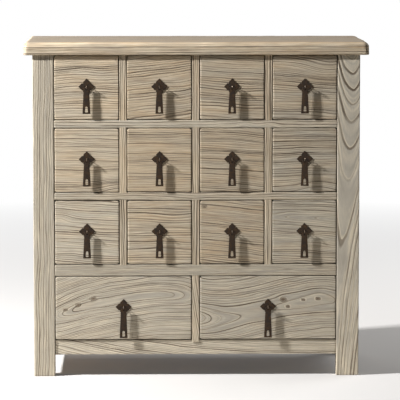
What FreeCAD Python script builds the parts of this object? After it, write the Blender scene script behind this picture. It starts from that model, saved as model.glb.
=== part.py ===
import FreeCAD, Part
import Sketcher
import os

# A weathered wooden chest: three rows of four small drawers over two wide ones, each drawer
# with an iron plate, a split pin and a hanging strip pull. Millimetres, +Z up, the front
# faces -Y, and the origin is on the floor under the middle of the whole.

COLUMNS = 4
SMALL_ROWS = ("one", "two", "three")
WIDE_ROW = "four"
WIDE_COLUMNS = 2
TAILS = 3

# The driving sizes, each set by itself.
SIZES = {
    # carcase, seen from the front
    "leg_height": 61.5,
    "bottom_rail_height": 42.5,
    "lower_rail_height": 33,
    "upper_rail_height": 22,
    "opening_height": 183,
    "opening_width": 184,
    "divider_thick": 21,
    "left_post_width": 60,
    "right_post_width": 64,
    # carcase, front to back
    "carcase_depth": 388,
    "post_depth": 35,
    "bottom_rail_setback": 3,
    "rear_post_width": 50,
    "rear_post_depth": 40,
    "back_rail_depth": 20,
    "top_back_rail_height": 45,
    "back_panel_thick": 10,
    "side_rail_height": 55,
    "side_rail_thick": 28,
    "side_rail_setback": 3,
    "side_panel_thick": 12,
    "post_round": 2.5,
    # joints of the carcase
    "tenon_length": 25,
    "tenon_thick": 12,
    "tenon_shoulder": 4,
    "side_tenon_length": 20,
    "stub_tenon_length": 8,
    "divider_shoulder": 6,
    "post_tenon_height": 15,
    "post_tenon_shoulder": 10,
    "panel_tongue": 7,
    # top board
    "top_thick": 37,
    "left_overhang": 25,
    "right_overhang": 25,
    "front_overhang": 8,
    "rear_overhang": 4,
    "top_corner_round": 14,
    "top_edge_round": 8,
    "top_under_round": 3,
    # what carries and guides the drawers
    "runner_thick": 18,
    "bearing_width": 18,
    "guide_height": 25,
    "stop_width": 15,
    "stop_height": 20,
    "stop_depth": 10.7,
    "stop_gap": 0.3,
    # drawers
    "front_thick": 20,
    "front_proud": 0.2,
    "front_gap": 1.2,
    "front_round": 2.5,
    "drawer_side_gap": 1.5,
    "drawer_run_gap": 0.3,
    "drawer_box_height": 160,
    "drawer_side_thick": 10,
    "drawer_back_thick": 10,
    "drawer_bottom_thick": 6,
    "front_lap": 8,
    "tail_gap": 22,
    "tail_flare": 3,
    # iron plate and split pin
    "handle_rise": 3,
    "plate_corner": 23,
    "plate_thick": 1.8,
    "notch_half_width": 1.8,
    "notch_depth": 2.2,
    "eye_distance": 8.2,
    "eye_drop": 1,
    "eye_hole_radius": 3.3,
    "wire_thick": 3.3,
    "leg_length": 14,
    "leg_thick": 1.6,
    # strip pull
    "pull_length_small": 73.5,
    "pull_length_wide": 85.5,
    "pull_thick": 2.5,
    "pull_top_width": 15,
    "pull_bottom_width": 22.5,
    "pull_corner_round": 1.5,
    "bar_radius": 1.6,
    "bar_gap": 0.3,
    "fork_width": 5.2,
    "fork_depth": 7.3,
    "slot_margin": 4.2,
    "slot_height": 16,
    "slot_top_width": 6,
    "slot_bottom_width": 8,
    "slot_round": 2.2,
}

# Places worked out from the driving sizes.
PLACES = {
    "body_width": "=sizes.left_post_width + sizes.right_post_width"
    " + %d * sizes.opening_width + %d * sizes.divider_thick" % (COLUMNS, COLUMNS - 1),
    "top_width": "=body_width + sizes.left_overhang + sizes.right_overhang",
    "body_left": "=sizes.left_overhang - top_width / 2",
    "body_right": "=body_left + body_width",
    "first_opening": "=body_left + sizes.left_post_width",
    "last_edge": "=body_right - sizes.right_post_width",
    "pitch": "=sizes.opening_width + sizes.divider_thick",
    "wide_opening": "=%d * pitch + sizes.opening_width" % (COLUMNS // WIDE_COLUMNS - 1),
    "eye_reach": "=sizes.eye_distance + sizes.eye_hole_radius + sizes.wire_thick",
    "front": "=-(sizes.carcase_depth + sizes.rear_overhang - sizes.front_proud - eye_reach) / 2",
    "rail_back": "=front + sizes.post_depth",
    "back": "=front + sizes.carcase_depth",
    "rear_post_front": "=back - sizes.rear_post_depth",
    "drawer_depth": "=sizes.front_proud + sizes.carcase_depth - sizes.rear_post_depth"
    " - sizes.stop_depth - sizes.stop_gap",
    "floor_four": "=sizes.leg_height + sizes.bottom_rail_height",
    "floor_three": "=floor_four + sizes.opening_height + sizes.lower_rail_height",
    "floor_two": "=floor_three + sizes.opening_height + sizes.upper_rail_height",
    "floor_one": "=floor_two + sizes.opening_height + sizes.upper_rail_height",
    "under_top": "=floor_one + sizes.opening_height",
    "side_inner": "=sizes.side_rail_setback + sizes.side_rail_thick",
    "bar_drop": "=sizes.eye_hole_radius - sizes.bar_radius - sizes.bar_gap",
}

# Each row of openings: the height of the rail that closes it below.
RAIL_HEIGHTS = {
    "one": "sizes.upper_rail_height",
    "two": "sizes.upper_rail_height",
    "three": "sizes.lower_rail_height",
    "four": "sizes.bottom_rail_height",
}
RAIL_NAMES = {
    "one": "front_rail_upper",
    "two": "front_rail_middle",
    "three": "front_rail_lower",
    "four": "front_rail_bottom",
}

doc = FreeCAD.newDocument("chest_of_drawers")
nodes = []


def fill(name, cells):
    """Makes a sheet with one alias a row, whose cell holds a number or a formula."""
    sheet = doc.addObject("Spreadsheet::Sheet", name)
    for row, (alias, content) in enumerate(cells.items(), start=1):
        sheet.set("A%d" % row, alias)
        sheet.set("B%d" % row, str(content))
        sheet.setAlias("B%d" % row, alias)
    return sheet


def put(piece, corner):
    """Binds the piece's place to three expressions."""
    for axis, expression in zip("xyz", corner):
        piece.setExpression("Placement.Base." + axis, expression)
    return piece


def box(name, corner, size):
    """A plain board from its lowest corner and its size along X, Y and Z."""
    piece = doc.addObject("Part::Box", name)
    for side, expression in zip(("Length", "Width", "Height"), size):
        piece.setExpression(side, expression)
    return put(piece, corner)


def fused(name, pieces):
    """One solid from pieces that grow into each other."""
    whole = doc.addObject("Part::MultiFuse", name)
    whole.Shapes = pieces
    whole.Refine = True
    return whole


def group(name, pieces):
    """Separate solids that share a place."""
    whole = doc.addObject("Part::Compound", name)
    whole.Links = pieces
    return whole


def cut(name, piece, tools):
    """The piece with room for the tools: their mortises, sockets or holes."""
    hollow = doc.addObject("Part::Cut", name)
    hollow.Base = piece
    hollow.Tool = group(name + "_room", tools)
    return hollow


def node(name, pieces, corner=("0", "0", "0")):
    """A sub-part under the name of its file."""
    whole = put(group(name, pieces), corner)
    whole.Label = name
    nodes.append(whole)
    return whole


def outline(body, plane, loops):
    """A sketch of closed loops, with every corner placed by two expressions."""
    sketch = body.newObject("Sketcher::SketchObject", body.Name + "_outline")
    origin = [f for f in body.Origin.OriginFeatures if f.Role == plane]
    sketch.AttachmentSupport = [(origin[0], "")]
    sketch.MapMode = "FlatFace"
    for corners in loops:
        first = sketch.GeometryCount
        count = len(corners)
        for i in range(count):
            start = FreeCAD.Vector(i, i * i, 0)
            end = FreeCAD.Vector(i + 1, (i + 1) * (i + 1), 0)
            sketch.addGeometry(Part.LineSegment(start, end), False)
        for i, (across, up) in enumerate(corners):
            line = first + i
            before = first + (i - 1) % count
            sketch.addConstraint(Sketcher.Constraint("Coincident", before, 2, line, 1))
            for kind, expression in (("DistanceX", across), ("DistanceY", up)):
                place = sketch.addConstraint(Sketcher.Constraint(kind, -1, 1, line, 1, 1.0))
                sketch.setExpression("Constraints[%d]" % place, expression)
    return sketch


def pad(body, plane, loops, length, middle=False, flip=False):
    """Adds the loops' outline, pushed out of its plane by length."""
    feature = body.newObject("PartDesign::Pad", body.Name + "_pad")
    feature.Profile = outline(body, plane, loops)
    feature.setExpression("Length", length)
    feature.Midplane = middle
    feature.Reversed = flip
    doc.recompute()
    return feature


def rounded(body, chosen, radius):
    """Rounds the edges of the body so far that chosen picks."""
    base = body.Tip
    edges = ["Edge%d" % i for i, edge in enumerate(base.Shape.Edges, start=1) if chosen(edge)]
    fillet = body.newObject("PartDesign::Fillet", body.Name + "_round")
    fillet.Base = (base, edges)
    fillet.setExpression("Radius", radius)
    doc.recompute()
    return fillet


def rectangle(left, low, right, high):
    """The four corners of an upright rectangle, as expressions."""
    return [(left, low), (right, low), (right, high), (left, high)]


def runs_along(edge, axis):
    """True for a straight edge parallel to the axis 0, 1 or 2."""
    ends = [vertex.Point for vertex in edge.Vertexes]
    if len(ends) != 2 or not isinstance(edge.Curve, Part.Line):
        return False
    step = ends[1] - ends[0]
    return abs(step[axis]) > 0.999 * step.Length


def opening_left(column):
    """The left edge of a column of small openings, counted from 0."""
    return "places.first_opening + %d * places.pitch" % column


def divider_columns(row):
    """The dividers of a row, by the number of the opening on their left."""
    step = COLUMNS // WIDE_COLUMNS if row == WIDE_ROW else 1
    return list(range(step - 1, COLUMNS - 1, step))


def make_dividers():
    """Upright dividers between the openings, with stub tenons into what is above and below."""
    dividers = {}
    for row in SMALL_ROWS + (WIDE_ROW,):
        floor = "places.floor_" + row
        dividers[row] = []
        for column in divider_columns(row):
            name = "divider_%s_%d" % (row, column + 1)
            left = opening_left(column) + " + sizes.opening_width"
            board = box(
                name + "_board",
                (left, "places.front", floor),
                ("sizes.divider_thick", "sizes.post_depth", "sizes.opening_height"),
            )
            tenon = box(
                name + "_tenon",
                (
                    left + " + sizes.divider_shoulder",
                    "places.front + sizes.divider_shoulder",
                    floor + " - sizes.stub_tenon_length",
                ),
                (
                    "sizes.divider_thick - 2 * sizes.divider_shoulder",
                    "sizes.post_depth - 2 * sizes.divider_shoulder",
                    "sizes.opening_height + 2 * sizes.stub_tenon_length",
                ),
            )
            dividers[row].append(fused(name, [board, tenon]))
    return dividers


def make_front_rails(dividers):
    """The rails under the four rows, tenoned into the posts and mortised for the dividers."""
    rails = {}
    width = "places.last_edge - places.first_opening"
    below = {"one": "two", "two": "three", "three": "four"}
    for row, height in RAIL_HEIGHTS.items():
        low = "places.floor_%s - %s" % (row, height)
        setback = "sizes.bottom_rail_setback" if row == WIDE_ROW else "0"
        board = box(
            RAIL_NAMES[row] + "_board",
            ("places.first_opening", "places.front + " + setback, low),
            (width, "sizes.post_depth - " + setback, height),
        )
        tenon = box(
            RAIL_NAMES[row] + "_tenon",
            (
                "places.first_opening - sizes.tenon_length",
                "places.front + (sizes.post_depth - sizes.tenon_thick) / 2",
                low + " + sizes.tenon_shoulder",
            ),
            (
                width + " + 2 * sizes.tenon_length",
                "sizes.tenon_thick",
                height + " - 2 * sizes.tenon_shoulder",
            ),
        )
        whole = fused(RAIL_NAMES[row] + "_whole", [board, tenon])
        met = dividers[row] + dividers.get(below.get(row), [])
        rails[row] = cut(RAIL_NAMES[row] + "_mortised", whole, met)
    return rails


def make_back_rails():
    """Rails between the rear posts behind each front rail, and a taller one under the top."""
    left = "places.body_left + sizes.rear_post_width"
    width = "places.body_width - 2 * sizes.rear_post_width"
    tenon_front = "places.rear_post_front + (sizes.back_rail_depth - sizes.tenon_thick) / 2"
    spans = [("places.floor_%s - %s" % (row, height), height) for row, height in RAIL_HEIGHTS.items()]
    spans.append(("places.under_top - sizes.top_back_rail_height", "sizes.top_back_rail_height"))
    rails = []
    for i, (low, height) in enumerate(spans, start=1):
        board = box(
            "back_rail_board_%d" % i,
            (left, "places.rear_post_front", low),
            (width, "sizes.back_rail_depth", height),
        )
        tenon = box(
            "back_rail_tenon_%d" % i,
            (left + " - sizes.tenon_length", tenon_front, low + " + sizes.tenon_shoulder"),
            (
                width + " + 2 * sizes.tenon_length",
                "sizes.tenon_thick",
                height + " - 2 * sizes.tenon_shoulder",
            ),
        )
        rails.append(fused("back_rail_%d" % i, [board, tenon]))
    return rails


def make_side(side, outer, inward):
    """A side's two rails and the panel held in their grooves and in the posts' grooves.

    outer is the side's outer face, and inward is 1 on the left and -1 on the right.
    """
    away = outer + (" + sizes.side_rail_setback" if inward > 0 else " - places.side_inner")
    panel_away = away + " + (sizes.side_rail_thick - sizes.side_panel_thick) / 2"
    length = "places.rear_post_front - places.rail_back"
    lows = {
        "lower": "sizes.leg_height",
        "upper": "places.under_top - sizes.side_rail_height",
    }
    rails = []
    for level, low in lows.items():
        name = "%s_side_rail_%s" % (side, level)
        board = box(
            name + "_board",
            (away, "places.rail_back", low),
            ("sizes.side_rail_thick", length, "sizes.side_rail_height"),
        )
        tenon = box(
            name + "_tenon",
            (
                panel_away,
                "places.rail_back - sizes.side_tenon_length",
                low + " + sizes.tenon_shoulder",
            ),
            (
                "sizes.side_panel_thick",
                length + " + 2 * sizes.side_tenon_length",
                "sizes.side_rail_height - 2 * sizes.tenon_shoulder",
            ),
        )
        rails.append(fused(name, [board, tenon]))
    low = "sizes.leg_height + sizes.side_rail_height - sizes.panel_tongue"
    panel = box(
        side + "_panel_board",
        (panel_away, "places.rail_back - sizes.panel_tongue", low),
        (
            "sizes.side_panel_thick",
            length + " + 2 * sizes.panel_tongue",
            "places.under_top - sizes.side_rail_height + sizes.panel_tongue - (%s)" % low,
        ),
    )
    grooved = [cut(rail.Name + "_grooved", rail, [panel]) for rail in rails]
    return grooved, panel


def make_post(name, corner, width, depth, outer, met):
    """A post from the floor up into the top board, mortised for what it meets.

    outer is the corner of its foot that shows, as a pair of 0 for low and 1 for high along X
    and Y, and that edge is worn round.
    """
    body = doc.addObject("PartDesign::Body", name + "_body")
    pad(body, "XY_Plane", [rectangle("0", "0", width, depth)], "places.under_top")
    bounds = body.Shape.BoundBox
    shown = Part.Vertex(outer[0] * bounds.XMax, outer[1] * bounds.YMax, 0)

    def worn(edge):
        return runs_along(edge, 2) and edge.distToShape(shown)[0] < 0.01

    rounded(body, worn, "sizes.post_round")
    put(body, corner)
    shoulder = "sizes.post_tenon_shoulder"
    tenon = box(
        name + "_tenon",
        (corner[0] + " + " + shoulder, corner[1] + " + " + shoulder, "sizes.leg_height"),
        (
            width + " - 2 * " + shoulder,
            depth + " - 2 * " + shoulder,
            "places.under_top - sizes.leg_height + sizes.post_tenon_height",
        ),
    )
    whole = fused(name + "_whole", [body, tenon])
    return cut(name + "_mortised", whole, met)


def make_back_panel():
    """A board behind the back rails, with its edges in the rear posts' grooves."""
    return box(
        "back_panel_board",
        (
            "places.body_left + sizes.rear_post_width - sizes.panel_tongue",
            "places.rear_post_front + sizes.back_rail_depth",
            "sizes.leg_height",
        ),
        (
            "places.body_width - 2 * sizes.rear_post_width + 2 * sizes.panel_tongue",
            "sizes.back_panel_thick",
            "places.under_top - sizes.leg_height",
        ),
    )


def make_carriers(row):
    """The runners under a row of drawers, the guides between them and the stops behind them."""
    floor = "places.floor_" + row
    front, length = "places.rail_back", "places.rear_post_front - places.rail_back"
    spans = [("places.body_left + places.side_inner", "places.first_opening", "after")]
    for column in divider_columns(row):
        left = opening_left(column) + " + sizes.opening_width"
        spans.append((left, left + " + sizes.divider_thick", "both"))
    spans.append(("places.last_edge", "places.body_right - places.side_inner", "before"))
    runners, guides, stops = [], [], []
    for i, (left, right, bearing) in enumerate(spans, start=1):
        tag = "_%s_%d" % (row, i)
        width = "%s - (%s)" % (right, left)
        guides.append(
            box("guide" + tag, (left, front, floor), (width, length, "sizes.guide_height"))
        )
        low = left if bearing == "after" else left + " - sizes.bearing_width"
        high = right if bearing == "before" else right + " + sizes.bearing_width"
        runners.append(
            box(
                "runner" + tag,
                (low, front, floor + " - sizes.runner_thick"),
                ("%s - (%s)" % (high, low), length, "sizes.runner_thick"),
            )
        )
        ends = []
        if bearing != "after":
            ends.append(left + " - sizes.stop_width")
        if bearing != "before":
            ends.append(right)
        for j, end in enumerate(ends, start=1):
            stops.append(
                box(
                    "stop%s_%d" % (tag, j),
                    (end, "places.rear_post_front - sizes.stop_depth", floor),
                    ("sizes.stop_width", "sizes.stop_depth", "sizes.stop_height"),
                )
            )
    return runners, guides, stops


def make_top(met):
    """The top board, round at its corners in plan and along its upper and lower edges."""
    body = doc.addObject("PartDesign::Body", "top_board_body")
    depth = "sizes.carcase_depth + sizes.front_overhang + sizes.rear_overhang"
    pad(body, "XY_Plane", [rectangle("0", "0", "places.top_width", depth)], "sizes.top_thick")
    rounded(body, lambda edge: runs_along(edge, 2), "sizes.top_corner_round")
    high = body.Shape.BoundBox.ZMax
    rounded(body, lambda edge: edge.BoundBox.ZMin > high - 0.01, "sizes.top_edge_round")
    rounded(body, lambda edge: edge.BoundBox.ZMax < 0.01, "sizes.top_under_round")
    put(body, ("-places.top_width / 2", "places.front - sizes.front_overhang", "places.under_top"))
    return cut("top_board_mortised", body, met)


def make_split_pin():
    """A split pin: an eye round the X axis, a shank back through the board, two bent legs.

    Its place is the point on the drawer's face where the shank goes in.
    """
    ring = doc.addObject("Part::Torus", "pin_eye")
    ring.setExpression("Radius1", "sizes.eye_hole_radius + sizes.wire_thick / 2")
    ring.setExpression("Radius2", "sizes.wire_thick / 2")
    ring.Placement.Rotation = FreeCAD.Rotation(FreeCAD.Vector(0, 1, 0), 90)
    put(ring, ("0", "-sizes.eye_distance", "-sizes.eye_drop"))
    shank = doc.addObject("Part::Cylinder", "pin_shank")
    shank.setExpression("Radius", "sizes.wire_thick / 2")
    shank.setExpression(
        "Height", "sizes.eye_distance - sizes.eye_hole_radius + sizes.front_thick + sizes.leg_thick / 2"
        " - sizes.wire_thick / 2"
    )
    shank.Placement.Rotation = FreeCAD.Rotation(FreeCAD.Vector(1, 0, 0), -90)
    put(
        shank,
        ("0", "sizes.eye_hole_radius + sizes.wire_thick / 2 - sizes.eye_distance", "-sizes.eye_drop"),
    )
    legs = box(
        "pin_legs",
        ("-sizes.wire_thick / 2", "sizes.front_thick", "-sizes.leg_length - sizes.eye_drop"),
        ("sizes.wire_thick", "sizes.leg_thick", "2 * sizes.leg_length"),
    )
    return fused("split_pin", [ring, shank, legs])


def make_plate(pin):
    """The square iron plate, standing on its corner, with a nick in the middle of each side."""
    corner, half = "sizes.plate_corner", "sizes.plate_corner / 2"
    near = "(%s - sizes.notch_half_width)" % half
    far = "(%s + sizes.notch_half_width)" % half
    inner = "(%s - sizes.notch_depth)" % half
    side = [("0", corner), (near, far), (inner, inner), (far, near)]
    corners = []
    for x_sign, y_sign, swapped in (("", "", 0), ("", "-", 1), ("-", "-", 0), ("-", "", 1)):
        for place in side:
            across, up = reversed(place) if swapped else place
            corners.append((x_sign + across, y_sign + up))
    body = doc.addObject("PartDesign::Body", "plate_body")
    pad(body, "XZ_Plane", [corners], "sizes.plate_thick")
    return cut("plate", body, [pin])


def make_pull(kind):
    """A strip pull: it widens downwards, has a slot at its foot and a fork with a round bar
    at its top, which hangs in the pin's eye. Its place is the bar's middle."""
    length = "sizes.pull_length_" + kind
    top, bottom = "sizes.pull_top_width / 2", "sizes.pull_bottom_width / 2"
    fork = "sizes.fork_width / 2"
    strip = [
        ("-" + bottom, "-" + length),
        (bottom, "-" + length),
        (top, "0"),
        (fork, "0"),
        (fork, "-sizes.fork_depth"),
        ("-" + fork, "-sizes.fork_depth"),
        ("-" + fork, "0"),
        ("-" + top, "0"),
    ]
    low = "sizes.slot_margin - " + length
    high = low + " + sizes.slot_height"
    slot = [
        ("-sizes.slot_bottom_width / 2", low),
        ("sizes.slot_bottom_width / 2", low),
        ("sizes.slot_top_width / 2", high),
        ("-sizes.slot_top_width / 2", high),
    ]
    body = doc.addObject("PartDesign::Body", "pull_%s_body" % kind)
    pad(body, "XZ_Plane", [strip, slot], "sizes.pull_thick", middle=True)
    bounds = body.Shape.BoundBox

    def at_foot(edge):
        return runs_along(edge, 1) and abs(edge.Vertexes[0].Z - bounds.ZMin) < 0.01

    def in_slot(edge):
        inside = abs(edge.Vertexes[0].X) < bounds.XMax / 2
        return runs_along(edge, 1) and inside and edge.Vertexes[0].Z < bounds.Center.z

    rounded(body, at_foot, "sizes.pull_corner_round")
    rounded(body, in_slot, "sizes.slot_round")
    bar = doc.addObject("Part::Cylinder", "pull_%s_bar" % kind)
    bar.setExpression("Radius", "sizes.bar_radius")
    bar.setExpression("Height", "sizes.pull_top_width")
    bar.Placement.Rotation = FreeCAD.Rotation(FreeCAD.Vector(0, 1, 0), 90)
    put(bar, ("-sizes.pull_top_width / 2", "0", "0"))
    return fused("pull_" + kind, [body, bar])


def make_drawer_side(name, left):
    """A drawer side whose front end carries dovetails, cut for the lapped front."""
    shoulder = "(sizes.front_thick - sizes.front_proud)"
    tip = "(sizes.front_lap - sizes.front_proud)"
    back = "(places.drawer_depth - sizes.front_proud)"
    low = "(sizes.drawer_run_gap + sizes.drawer_bottom_thick)"
    high = "(sizes.drawer_run_gap + sizes.drawer_box_height)"
    pitch = "((%s - %s) / %d)" % (high, low, TAILS)
    corners = [(back, high), (back, low), (shoulder, low)]
    for i in range(TAILS):
        root_low = "%s + %d * %s + sizes.tail_gap / 2" % (low, i, pitch)
        root_high = "%s + %d * %s - sizes.tail_gap / 2" % (low, i + 1, pitch)
        corners += [
            (shoulder, root_low),
            (tip, root_low + " - sizes.tail_flare"),
            (tip, root_high + " + sizes.tail_flare"),
            (shoulder, root_high),
        ]
    corners.append((shoulder, high))
    body = doc.addObject("PartDesign::Body", name)
    pad(body, "YZ_Plane", [corners], "sizes.drawer_side_thick")
    return put(body, (left, "0", "0"))


def make_drawer(kind, opening, pin):
    """The five boards of a drawer. Its place is its opening's lower left front corner."""
    left = "sizes.drawer_side_gap"
    right = "%s - sizes.drawer_side_gap - sizes.drawer_side_thick" % opening
    sides = [
        make_drawer_side("drawer_%s_left" % kind, left),
        make_drawer_side("drawer_%s_right" % kind, right),
    ]
    inner = "%s - 2 * sizes.drawer_side_gap - 2 * sizes.drawer_side_thick" % opening
    floor = "sizes.drawer_run_gap + sizes.drawer_bottom_thick"
    front_back = "sizes.front_thick - sizes.front_proud"
    back = box(
        "drawer_%s_back" % kind,
        (
            left + " + sizes.drawer_side_thick",
            "places.drawer_depth - sizes.front_proud - sizes.drawer_back_thick",
            floor,
        ),
        (
            inner,
            "sizes.drawer_back_thick",
            "sizes.drawer_box_height - sizes.drawer_bottom_thick",
        ),
    )
    bottom = box(
        "drawer_%s_bottom" % kind,
        (left, front_back, "sizes.drawer_run_gap"),
        (
            "%s - 2 * sizes.drawer_side_gap" % opening,
            "places.drawer_depth - sizes.front_thick",
            "sizes.drawer_bottom_thick",
        ),
    )
    body = doc.addObject("PartDesign::Body", "drawer_%s_front_board" % kind)
    face = rectangle(
        "sizes.front_gap",
        "sizes.front_gap",
        opening + " - sizes.front_gap",
        "sizes.opening_height - sizes.front_gap",
    )
    pad(body, "XZ_Plane", [face], "sizes.front_thick", flip=True)
    rounded(body, lambda edge: edge.BoundBox.YMax < 0.01, "sizes.front_round")
    put(body, ("0", "-sizes.front_proud", "0"))
    hole = put(group("pin_room_%s" % kind, [pin]), plate_place(opening))
    front = cut("drawer_%s_front" % kind, body, sides + [hole])
    return [front, back, bottom] + sides


def plate_place(opening):
    """The plate's middle on a drawer's face, a little above the face's own middle, from its
    opening's lower left front corner."""
    return opening + " / 2", "-sizes.front_proud", "sizes.opening_height / 2 + sizes.handle_rise"


def shifted(place, corner):
    """The sum of two places."""
    return tuple("%s + %s" % (a, b) for a, b in zip(place, corner))


fill("sizes", SIZES)
fill("places", PLACES)
doc.recompute()

dividers = make_dividers()
front_rails = make_front_rails(dividers)
back_rails = make_back_rails()
back_panel = make_back_panel()
left_rails, left_panel = make_side("left", "places.body_left", 1)
right_rails, right_panel = make_side("right", "places.body_right", -1)

left_met = left_rails + [left_panel]
right_met = right_rails + [right_panel]
front_met = list(front_rails.values())
back_met = back_rails + [back_panel]
right_front = "places.body_right - sizes.right_post_width"
right_rear = "places.body_right - sizes.rear_post_width"
rear_size = ("sizes.rear_post_width", "sizes.rear_post_depth")
posts = {
    "front_left_post": make_post(
        "front_left_post", ("places.body_left", "places.front", "0"),
        "sizes.left_post_width", "sizes.post_depth", (0, 0), front_met + left_met,
    ),
    "front_right_post": make_post(
        "front_right_post", (right_front, "places.front", "0"),
        "sizes.right_post_width", "sizes.post_depth", (1, 0), front_met + right_met,
    ),
    "rear_left_post": make_post(
        "rear_left_post", ("places.body_left", "places.rear_post_front", "0"),
        *rear_size, (0, 1), back_met + left_met,
    ),
    "rear_right_post": make_post(
        "rear_right_post", (right_rear, "places.rear_post_front", "0"),
        *rear_size, (1, 1), back_met + right_met,
    ),
}
for name, post in posts.items():
    node(name, [post])
node("top_board", [make_top(list(posts.values()) + dividers["one"])])
for row, rail in front_rails.items():
    node(RAIL_NAMES[row], [rail])
node("dividers", [divider for row in dividers.values() for divider in row])
node("back_rails", back_rails)
node("side_rails", left_rails + right_rails)
node("left_side_panel", [left_panel])
node("right_side_panel", [right_panel])
node("back_panel", [back_panel])
carriers = [make_carriers(row) for row in SMALL_ROWS + (WIDE_ROW,)]
for name, kinds in zip(("drawer_runners", "drawer_guides", "drawer_stops"), zip(*carriers)):
    node(name, [piece for kind in kinds for piece in kind])

pin = make_split_pin()
plate = make_plate(pin)
drawers = {
    "small": make_drawer("small", "sizes.opening_width", pin),
    "wide": make_drawer("wide", "places.wide_opening", pin),
}
pulls = {kind: make_pull(kind) for kind in drawers}
openings = [(row, i, i, "small") for row in SMALL_ROWS for i in range(COLUMNS)]
openings += [
    (WIDE_ROW, i, i * COLUMNS // WIDE_COLUMNS, "wide") for i in range(WIDE_COLUMNS)
]
widths = {"small": "sizes.opening_width", "wide": "places.wide_opening"}
for row, i, column, kind in openings:
    tag = "_%s_%d" % (row, i + 1)
    corner = (opening_left(column), "places.front", "places.floor_" + row)
    face = shifted(corner, plate_place(widths[kind]))
    hang = shifted(face, ("0", "-sizes.eye_distance", "-sizes.eye_drop - places.bar_drop"))
    hang = (hang[0], "%s - sizes.eye_distance" % face[1], hang[2])
    node("drawer" + tag, drawers[kind], corner)
    node("handle_plate" + tag, [plate, pin], face)
    node("pull" + tag, [pulls[kind]], hang)

doc.recompute()
faults = [o.Name for o in doc.Objects if "Invalid" in o.State or "Error" in o.State]
faults += [n.Label for n in nodes if n.Shape.isNull() or not n.Shape.isValid()]
if faults:
    raise RuntimeError("these could not be built: " + ", ".join(faults))
os.makedirs("parts", exist_ok=True)
for whole in nodes:
    whole.Shape.exportStep("parts/%s.step" % whole.Label)
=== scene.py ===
import math
import bpy
import numpy as np
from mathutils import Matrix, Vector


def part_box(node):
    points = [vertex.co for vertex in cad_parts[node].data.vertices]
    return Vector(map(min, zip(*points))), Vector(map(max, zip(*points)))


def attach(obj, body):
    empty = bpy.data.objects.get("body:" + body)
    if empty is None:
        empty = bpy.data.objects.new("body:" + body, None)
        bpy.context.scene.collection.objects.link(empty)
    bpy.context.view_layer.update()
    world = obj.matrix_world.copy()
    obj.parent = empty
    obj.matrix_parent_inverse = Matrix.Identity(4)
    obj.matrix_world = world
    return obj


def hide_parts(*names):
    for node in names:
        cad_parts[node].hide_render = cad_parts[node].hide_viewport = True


# The looks of a weathered elm chest of drawers with blackened iron handles.
# Lengths here are millimetres unless a name says otherwise; the frame is in metres.

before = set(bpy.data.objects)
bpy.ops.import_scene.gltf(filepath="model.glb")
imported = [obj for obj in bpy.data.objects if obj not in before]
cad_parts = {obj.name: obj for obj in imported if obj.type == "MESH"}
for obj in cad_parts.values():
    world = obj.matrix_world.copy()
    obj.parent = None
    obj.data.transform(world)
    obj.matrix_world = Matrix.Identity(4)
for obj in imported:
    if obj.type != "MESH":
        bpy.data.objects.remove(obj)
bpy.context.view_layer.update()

MM = 0.001
DECIMETRE = 100.0
X, Y, Z = 0, 1, 2
SMALL_ROWS = ("one", "two", "three")
TAGS = ["%s_%d" % (row, i) for row in SMALL_ROWS for i in (1, 2, 3, 4)] + ["four_1", "four_2"]

# How finely the boards' surfaces are divided, across and along their grain, where the lattice's
# lines lie in a rounded edge, as shares of its width, and the dovetailed sides' coarser step.
FINE_ACROSS = 2.0
FINE_ALONG = 4.0
EDGE_LINES = np.array([0, 0.35, 0.7])
TAILED_STEP = 16.0
# Wear of the outer boards: the round of an arris, the sharper one of the boards between the posts, how
# deep the soft part of each ring is worn, how far an edge strays, and over what lengths; and how much
# painted shade darkens the faces round a show face, which look into the gaps between the boards.
ARRIS = 2.2
INNER_ARRIS = 1.8
RING_WEAR = 0.22
EDGE_WEAR = 0.5
ROUND_VARIES = 38.0
WEAR_VARIES = 26.0, 9.0
PAINTED_GAP_SHADE = 2.5
# The least and greatest width of a line of pores. Real ones are half as wide, but wouldn't show.
LINE_WIDTH = 0.8, 2.2
# Over what lengths along and across the grain it bends, slowly and quickly, and over what
# lengths the ring widths differ; and how many years are alike.
SLOW_BEND = 130.0
QUICK_BEND = 42.0, 30.0
SLOW_WARP = 110.0, 13.0
QUICK_WARP = 45.0, 8.0
YEARS_ALIKE = 1.9
# The drawers' parts, as in the frame.
FRONT_THICK, FRONT_GAP, FRONT_LAP = 20.0, 1.2, 8.0
SIDE_GAP, SIDE_THICK, BOTTOM_THICK, BOX_HEIGHT, RUN_GAP = 1.5, 10.0, 6.0, 160.0, 0.3
TAILS, TAIL_GAP, TAIL_FLARE = 3, 22.0, 3.0
# The iron handles: the plate from its middle to a corner with a nick in each side, the split
# pin's wire, and the strip with a fork at its head and a slot at its foot.
PLATE_CORNER, PLATE_THICK, PLATE_CROWN, NICK_HALF_WIDTH, NICK_DEPTH = 23.0, 1.8, 0.5, 1.8, 2.2
WIRE_RADIUS, EYE_DROP, EYE_BULGE, BEND_RADIUS, LEG_LENGTH = 1.0, 1.0, 5.0, 2.5, 14.0
BAR_RADIUS, PULL_THICK, PULL_CROWN, PULL_TOP_WIDTH, PULL_BOTTOM_WIDTH = 1.6, 2.5, 0.6, 15.0, 22.5
FORK_WIDTH, FORK_DEPTH, FOOT_ROUND = 5.2, 7.3, 1.5
SLOT_MARGIN, SLOT_HEIGHT, SLOT_TOP_WIDTH, SLOT_BOTTOM_WIDTH, SLOT_ROUND = 4.2, 16.0, 6.0, 8.0, 2.2
WIRE_SIDES = 8
# How deep hammering left the iron uneven, how wide its dents are on a plate and a strip, and how
# wide their edges are broken.
HAMMERED, PLATE_DENTS, PULL_DENTS = 0.16, 6.0, (7.0, 9.0)
PLATE_BREAK, PULL_BREAK = 0.35, 0.4
# From how many degrees on an edge looks sharp.
SHARP_WOOD, SHARP_IRON, SHARP_WIRE = 30, 40, 60
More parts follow.
